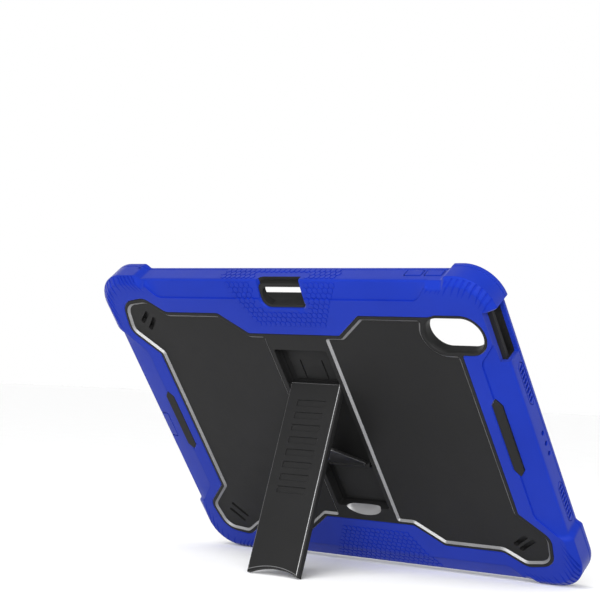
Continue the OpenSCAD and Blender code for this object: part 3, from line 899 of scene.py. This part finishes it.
def make_buttons():
    for node, u in BUTTONS.items():
        form = Form(to_top)
        form.prism(box_loop(u - 3.5, u + 3.5, -11.05, -8.65, 0.4), -15.2, -1.6, 0, 0.3)
        cap = Form(to_top)
        cap.prism(button_loop(u, -0.35), -1.75, 0.12, 0.35, 0.1, segs=3)
        me = carve(form.mesh(node), [cap], ["UNION"])
        piece(node.replace("_button", "_key"), me, [BLUE], node.replace("_button", ""), [node])


# ---------------------------------------------------------------- rear shell
# Slots of the panel's lobes: shallow end, deep end, half width
LOBE_SLOTS = [((-103.8, 78.9), (-110.3, 72.8), 1.35), ((-100.4, 74.8), (-106.7, 67.9), 1.35),
              ((-97.5, -75), (-105.5, -66), 1.1), ((-101.9, -78.9), (-109.2, -70.7), 1.1),
              ((105.9, -67.4), (97.6, -73.5), 1.35), ((110.3, -69.7), (100.4, -76.9), 1.35)]


def slot_cutter(form, shallow, deep, r):
    """A lobe slot whose floor slopes from one end to a rounded deep end."""
    a, b = Vector(shallow), Vector(deep)
    d = (b - a).normalized()
    n = Vector((-d.y, d.x))
    length = (b - a).length
    ring = []
    for k in range(13):
        q = math.radians(-90 + 180 * k / 12)
        ring.append((length + r * math.cos(q), r * math.sin(q)))
    for k in range(5):
        q = math.radians(90 + 180 * k / 4)
        ring.append((0.5 * math.cos(q), r * 0.98 * math.sin(q)))

    def at(x, y, w):
        p = a + d * x + n * y
        return (p.x, p.y, w)
    floor = [PANEL_W - 0.9 - 2.4 * min(1, max(0, (x + 0.5)) / length) for x, y in ring]
    wide = [(x + (0.25 if x > length / 2 else -0.25), y * 1.22) for x, y in ring]
    form.closed([form.add([at(x, y, w) for (x, y), w in zip(ring, floor)]),
                 form.add([at(x, y, PANEL_W + 0.02) for x, y in ring]),
                 form.add([at(x, y, PANEL_W + 0.3) for x, y in wide]),
                 form.add([at(x, y, 2) for x, y in wide])])


def wall_boxes():
    """Boxes through the walls of shell and frame, behind the sleeve's openings."""
    form = Form()
    for side, v0, v1 in GRILLES:
        near, far = (126, 136) if side > 0 else (-136, -126)
        form.join(box_form((near, v0 + GRILLE_END, SLOT_W[0]), (far, v1 - GRILLE_END, SLOT_W[1])))
    for v in MIC_V:
        form.join(box_form((122, v - 0.8, MID_W - 0.8), (134, v + 0.8, MID_W + 0.8)))
    form.join(box_form((-136, PORT_V - 7, MID_W - 3.2), (-120, PORT_V + 7, MID_W + 3.2)))
    form.join(box_form((121, 52, MID_W - 3.2), (136, 83, MID_W + 3.2)))
    for u in BUTTONS.values():
        form.join(box_form((u - 3.8, 84, MID_W - 1.5), (u + 3.8, 104, MID_W + 1.5)))
    return form


def make_shell():
    form = Form()
    # Panel edge, from the flange up to the rear rim
    top_edge = [(0, BASE_TOP), (0, -0.35), (-0.1, -0.1), (-0.35, 0)]
    low, top = form.sweep(panel_loop, top_edge)
    field_profile = [(0.1, 0), (-0.05, -0.03), (-0.15, -0.12), (-1.25, -1.08), (-1.35, -1.17),
                     (-1.5, PANEL_W)]
    holes = []
    for loop in (right_field, left_field):
        rows = [form.level(offset(loop, d), w) for d, w in field_profile]
        form.strip(rows[0], rows[1])
        form.rows(rows[1:-1], 1)
        form.strip(rows[-2], rows[-1])
        form.fill(rows[-1])
        holes.append(rows[0])
    # Kickstand pocket
    pocket = ccw(rect(POCKET[0], POCKET[1], POCKET[2], 1.2))
    p_top, p_low = form.sweep(pocket, [(0.25, 0), (0.08, -0.08), (0, -0.25), (0, FLOOR_W)])
    seat = ccw(rect(23, -65, 65, 0.5))
    s_top = form.level(seat, FLOOR_W)
    form.fill(s_top, [p_low])
    s_low = form.level(seat, BASE_LOW)
    form.strip(s_top, s_low)
    # Camera opening
    rows = [form.level(camera_loop(i), w) for i, w in
            ((1.2, 0), (1.35, -0.05), (1.5, -0.2), (1.9, -1.6), (2.0, -1.8), (2.0, BASE_LOW + 0.6),
             (1.6, BASE_LOW))]
    form.rows(rows)
    form.fill(top, holes + [p_top, rows[0]])
    # Flange under the sleeve, walls and the tablet's pocket
    shell = ccw(rect(SHELL_U, -SHELL_V, SHELL_V, SHELL_R))
    inner = ccw(rect(TAB_U, TAB_LOW, TAB_HIGH, TAB_R))
    f_out = form.level(shell, BASE_TOP)
    form.fill(f_out, [low])
    skirt = offset(shell, -SKIRT)
    last = [f_out, form.level(shell, CLIP_W), form.level(skirt, CLIP_W),
            form.level(skirt, TABLET_W)]
    form.rows(last)
    t_top, t_low = form.sweep(inner, [(0.25, TABLET_W), (0, TABLET_W + 0.3),
                                      (0, BASE_LOW + 0.5), (-0.5, BASE_LOW)])
    form.fill(last[-1], [t_top])
    form.fill(t_low, [s_low, rows[-1]])
    me = form.mesh("shell")
    cuts = Form()
    for a, b, r in LOBE_SLOTS:
        slot_cutter(cuts, a, b, r)
    # Finger scoop below the pocket
    scoop = Form()
    half, top_v, low_v = 12.5, -50, -56
    bow = [Vector((half * math.cos(q), low_v + 6.2 * math.sin(q)))
           for q in [math.radians(a) for a in range(180, 361, 9)]]
    ring = ccw([Vector((-half, top_v)), *bow, Vector((half, top_v))])
    scoop.closed([scoop.level([Vector((p.x * s, top_v + (p.y - top_v) * s2)) for p in ring], w)
                  for s, s2, w in ((0.80, 0.52, -2.9), (0.84, 0.62, -2.7), (0.90, 0.78, -2.0),
                                   (0.95, 0.90, -1.1), (0.985, 0.97, -0.3), (1.0, 1.0, 0.02),
                                   (1.0, 1.0, 2))], 1)
    # Stylus channel, its window and the openings through the walls
    channel = box_form((STYLUS[0], STYLUS[2], TABLET_W - 3), (STYLUS[1], STYLUS[3], -5.4))
    collar = Form()
    low, high, slope = 84.7, SHELL_V - 0.05, 0.17
    rim = ccw(rounded([(-13.4, low, 5.9), (16.0, low, 2.4), (16.0, high, 0.3), (-13.4, high, 3)]))
    rows = [collar.level(rim, -5.0)]
    for inset, drop in ((0, 0.9), (0.1, 0.65), (0.35, 0.55)):
        rows.append(collar.add([(q.x, q.y, -drop - slope * (q.y - low))
                                for q in offset(rim, -inset)]))
    collar.closed(rows)
    window = Form()
    window.prism(rounded([(-11.5, 86.2, 5), (16.3, 86.2, 1), (16.3, 96.6, 0.4), (-11.5, 96.6, 4)]),
                 -6.8, 2)
    tracks = Form()
    for x in (-1, 1):
        tracks.join(box_form((x * 19.1 - 1.6, 27.5, -5.6), (x * 19.1 + 1.5, 55.6, -0.9)))
    me = carve(me, [collar, cuts, scoop, channel, window, wall_boxes(), tracks],
               ["UNION"] + ["DIFFERENCE"] * 6)
    return piece("back_shell", me, [BLACK, GLOSS], "case", ["rear_shell"])


def make_inserts():
    for i, node in enumerate(("left_side_insert", "right_side_insert")):
        form = Form()
        form.prism(insert_loop(i, -0.1), BASE_TOP, -0.2, 0.3, segs=3)
        piece(node.replace("insert", "pad"), form.mesh(node), [BLACK], "case", [node])


def make_frame():
    form = Form()
    rim = ccw(rect(RIM_U, RIM_LOW, RIM_HIGH, RIM_R))
    shell = ccw(rect(SHELL_U, -SHELL_V, SHELL_V, SHELL_R))
    skirt = offset(shell, -SKIRT)
    lip = offset(ccw(rect(TAB_U, TAB_LOW, TAB_HIGH, TAB_R)), -2.0)
    slot = ccw(box_loop(*STYLUS, 3))
    face = -14.95
    ring = [form.level(offset(rim, d), w) for d, w in
            ((-0.1, FLANGE_W), (-0.1, -15.1), (-0.2, -15.32), (-0.5, -15.4))]
    form.rows(ring)
    step = ccw(rounded([(123.3, -93.5, 16), (123.3, 95.5, 9), (-123.3, 95.5, 9),
                        (-123.3, -93.5, 16)]))
    r_top, r_low = form.sweep(step, [(0.25, -15.4), (0.05, -15.34), (-0.2, face)])
    form.fill(ring[-1], [r_top])
    o_top, o_low = form.sweep(lip, [(0.5, face), (0.15, face + 0.12), (0, face + 0.5),
                                    (0, TABLET_W)])
    s_top, s_low = form.sweep(slot, [(0.4, face), (0.1, face + 0.12), (0, face + 0.4),
                                     (0, TABLET_W)])
    form.fill(r_low, [o_top, s_top])
    out = [form.level(shell, FLANGE_W), form.level(shell, CLIP_W), form.level(skirt, CLIP_W),
           form.level(skirt, TABLET_W)]
    form.rows(out)
    form.fill(out[0], [ring[0]])
    form.fill(out[-1], [o_low, s_low])
    me = carve(form.mesh("frame"), [wall_boxes()], ["DIFFERENCE"])
    return piece("front_bezel", me, [BLACK], "case", ["front_frame"])


# ---------------------------------------------------------------- kickstand
def in_leg(p):
    c, s = math.cos(LEG_ANGLE), math.sin(LEG_ANGLE)
    return SLIDE + Vector((p.x, p.y * c + p.z * s, -p.y * s + p.z * c))


def at_leg_pivot(p):
    return in_leg(p + Vector((0, -LEG_PIVOT, LEG_PIVOT_W)))


def in_brace(p):
    c, s = math.cos(BRACE_ANGLE), math.sin(BRACE_ANGLE)
    return PIVOT + Vector((p.x, p.y * c - p.z * s, p.y * s + p.z * c))


def lug_form(place, profile, near, far):
    """A pair of mirrored lugs with the profile, from near to far on both sides."""
    lugs = Form(place)
    for low, high in ((-far, -near), (near, far)):
        lug = Form()
        lug.prism(profile, low, high, LUG_EDGE, LUG_EDGE)
        lugs.join(lug, lambda p: Vector((p.z, p.x, p.y)))
    return lugs


TOE_R, TOE_STEPS, HEAD_V = 47.5, 9, 1.9
GRIPS, GRIP_PITCH, GRIP_HALF, GRIP_HIGH, GRIP_V = 8, 7.2, 10, 3.6, -9


def make_leg():
    form = Form(in_leg)
    toe = []
    for k in range(-TOE_STEPS, TOE_STEPS + 1):
        x = LEG_X * k / TOE_STEPS
        toe.append(Vector((x, 3.5 - REACH - TOE_R + math.sqrt(TOE_R ** 2 - x ** 2))))
    loop = ccw([Vector((-LEG_X, HEAD_V))] + toe + [Vector((LEG_X, HEAD_V))])
    side = [(-0.3, LEG_LOW), (-0.08, LEG_LOW + 0.08), (0, LEG_LOW + 0.3), (0, LEG_TOP - 1.2),
            (-0.08, LEG_TOP - 1.0), (-0.75, LEG_TOP - 0.3), (-0.85, LEG_TOP - 0.22),
            (-1.15, LEG_TOP)]
    rows = [form.level(offset(loop, d), w) for d, w in side]
    for i, (a, b) in enumerate(zip(rows, rows[1:])):
        form.strip(a, b, 1 if i == len(rows) - 2 else 0)
    grips = []
    for i in range(GRIPS):
        y = GRIP_V - GRIP_PITCH * i
        top, low = form.sweep(ccw(rect(-GRIP_HALF, y, y - GRIP_HIGH, 0.8)),
                              [(0.15, LEG_TOP), (0.02, LEG_TOP - 0.12), (-0.1, LEG_TOP - 0.6)])
        form.fill(low)
        grips.append(top)
    form.fill(rows[-1], grips)
    # Hollows of the underside
    holes = []
    for y0, y1, depth in ((-82.5, -32.1, 0.5), (-103.2, -85.5, -0.1)):
        ring = ccw(box_loop(-16.3, 16.3, y0, y1, 1))
        h_low, h_top = form.sweep(ring, [(0.25, LEG_LOW), (0.05, LEG_LOW + 0.08),
                                         (0, LEG_LOW + 0.3), (0, depth - 0.3), (-0.3, depth)])
        form.fill(h_top)
        holes.append(h_low)
    form.fill(rows[0], holes)
    me = form.mesh("leg")
    root = [Vector((BARREL_R, 2.2)), Vector((-BARREL_R, 2.2))]
    lugs = lug_form(at_leg_pivot, arc(BARREL_R, range(180, 361, 15)) + root, LUG_INNER, 16.8)
    return piece("stand_leg", carve(me, [lugs], ["UNION"]), [BLACK, EDGE], "leg",
                 ["kickstand_leg"])


def make_brace():
    form = Form(in_brace)
    left = [(-BRACE_INNER, -0.2, 0), (-BRACE_INNER, 3, 0.4), (-BRACE_HALF, 6, 1.5),
            (-BRACE_HALF, BRACE_LEN - 6, 1.5), (-BRACE_INNER, BRACE_LEN - 3, 0.4),
            (-BRACE_INNER, BRACE_LEN + 0.2, 0)]
    form.prism(rounded(left + flip(left, -1, 1)), -0.8, 0.8, 0.25, 0.25, bevel_tag=1)
    rolls = Form(in_brace)
    for y in (0, BRACE_LEN):
        roll = Form(lambda p: Vector((p.z, p.x + y, p.y)))
        roll.prism(circle(BARREL_R, 28), -BRACE_INNER, BRACE_INNER, 0.25, 0.25)
        rolls.join(roll, roll.place)
    me = carve(form.mesh("brace"), [rolls], ["UNION"])
    return piece("stand_brace", me, [BLACK, EDGE], "brace", ["kickstand_brace"])


def make_tray():
    form = Form()
    plate = ccw(rect(22.8, -64.8, 64.8, 0.5))
    raised = ccw(rect(14.9, -54.6, 55.4, 1.0))
    out = [form.level(plate, BASE_LOW), form.level(plate, GROOVE_W)]
    form.strip(*out)
    foot, top = form.sweep(raised, [(0.1, GROOVE_W), (0, GROOVE_W + 0.1), (0, PLATE_W - 0.25),
                                    (-0.1, PLATE_W - 0.08), (-0.3, PLATE_W)])
    form.fill(out[1], [foot])
    form.fill(top)
    form.face(out[0][::-1])
    me = form.mesh("tray")
    root = [Vector((-BARREL_R, -1.9)), Vector((BARREL_R, -1.9))]
    lugs = lug_form(lambda p: PIVOT + p, arc(BARREL_R, range(0, 181, 15)) + root, LUG_INNER, 14.8)
    # Three detent fingers: two slits between them and a gap across their ends
    slits = Form()
    for x in (-7.6, 7.6):
        slits.prism(rounded([(x - 0.5, 31.0, 0.2), (x + 0.5, 31.0, 0.2), (x + 0.5, 46, 0.45),
                             (x - 0.5, 46, 0.45)]), -6.5, 0)
    gap = Form()
    gap.prism(box_loop(-15.6, 15.6, 31.2, 32.9, 0.3), -6.4, 0)
    me = carve(me, [lugs, slits, gap], ["UNION", "DIFFERENCE", "DIFFERENCE"])
    return piece("stand_tray", me, [BLACK], "case", ["kickstand_tray"])


def make_pins():
    for node, body, half, move in (
            ("brace_base_pin", "case", 14.8, lambda p: PIVOT + p),
            ("leg_brace_pin", "leg", 16.3, at_leg_pivot),
            ("leg_slider_pin", "leg", 20.3, in_leg)):
        form = Form(lambda p: move(Vector((p.z, p.x, p.y))))
        form.prism(circle(PIN_R, 24), -half, half, 0.22, 0.22, segs=3)
        piece(node.replace("_pin", "_rod"), form.mesh(node), [STEEL], body, [node])


make_sleeve()
make_flap()
make_buttons()
make_shell()
make_inserts()
make_frame()
make_leg()
make_brace()
make_tray()
make_pins()


# ---------------------------------------------------------------- studio
FLOOR_HALF = 8
SUN_POWER, SUN_SPREAD, SUN_TILT = 2.1, 40, (38, 8, 0)
# The world is brighter near the horizon
SKY = (("From Min", 0.34), ("From Max", 0.75), ("To Min", 1.0), ("To Max", 0.4))
# Soft lights: name, place, aim, size, power
LIGHTS = (("key", (1.2, -1.2, 0.9), (0.05, 0, 0.08), 1.0, 2),
          ("low", (0.70, -1.1, 0.14), (0.05, 0, 0.02), 0.9, 42))


def studio():
    me = bpy.data.meshes.new("floor")
    bm = bmesh.new()
    bmesh.ops.create_grid(bm, x_segments=8, y_segments=8, size=FLOOR_HALF)
    bm.to_mesh(me)
    bm.free()
    me.materials.append(FLOOR_MAT)
    floor = bpy.data.objects.new("floor", me)
    bpy.context.scene.collection.objects.link(floor)
    world = bpy.data.worlds.new("studio")
    bpy.context.scene.world = world
    world.use_nodes = True
    tree = world.node_tree
    back = tree.nodes["Background"]
    split = tree.nodes.new("ShaderNodeSeparateXYZ")
    fade = tree.nodes.new("ShaderNodeMapRange")
    tree.links.new(tree.nodes.new("ShaderNodeTexCoord").outputs["Generated"], split.inputs[0])
    tree.links.new(split.outputs["Z"], fade.inputs["Value"])
    for key, value in SKY:
        fade.inputs[key].default_value = value
    tree.links.new(fade.outputs[0], back.inputs["Strength"])
    back.inputs[0].default_value = (1, 1, 1, 1)
    sun = bpy.data.lights.new("sky", "SUN")
    sun.energy = SUN_POWER
    sun.angle = math.radians(SUN_SPREAD)
    top = bpy.data.objects.new("sky", sun)
    top.rotation_euler = [math.radians(a) for a in SUN_TILT]
    bpy.context.scene.collection.objects.link(top)
    for name, place, aim, size, power in LIGHTS:
        data = bpy.data.lights.new(name, "AREA")
        data.size = size
        data.energy = power
        light = bpy.data.objects.new(name, data)
        light.location = place
        light.rotation_euler = (Vector(aim) - Vector(place)).to_track_quat("-Z", "Y").to_euler()
        bpy.context.scene.collection.objects.link(light)


# The photograph's viewpoint: place and directions in the CAD frame, lens in mm, shift of the frame
VIEW_PLACE = (0.5662, -0.76918, 0.10689)
VIEW_FORWARD, VIEW_RIGHT = (-0.58238, 0.81289, -0.00578), (0.81170, 0.58189, 0.05040)
VIEW_LENS, VIEW_SHIFT = 99.64, (-0.1060, 0.1589)


def camera():
    data = bpy.data.cameras.new("camera")
    data.sensor_width = 36
    data.lens = VIEW_LENS
    data.shift_x, data.shift_y = VIEW_SHIFT
    data.clip_start = 0.01
    cam = bpy.data.objects.new("camera", data)
    forward = Vector(VIEW_FORWARD).normalized()
    right = Vector(VIEW_RIGHT).normalized()
    up = right.cross(forward)
    m = Matrix((right, up, -forward)).transposed().to_4x4()
    m.translation = Vector(VIEW_PLACE)
    cam.matrix_world = m
    bpy.context.scene.collection.objects.link(cam)
    bpy.context.scene.camera = cam


studio()
camera()
bpy.context.scene.view_settings.view_transform = "Standard"
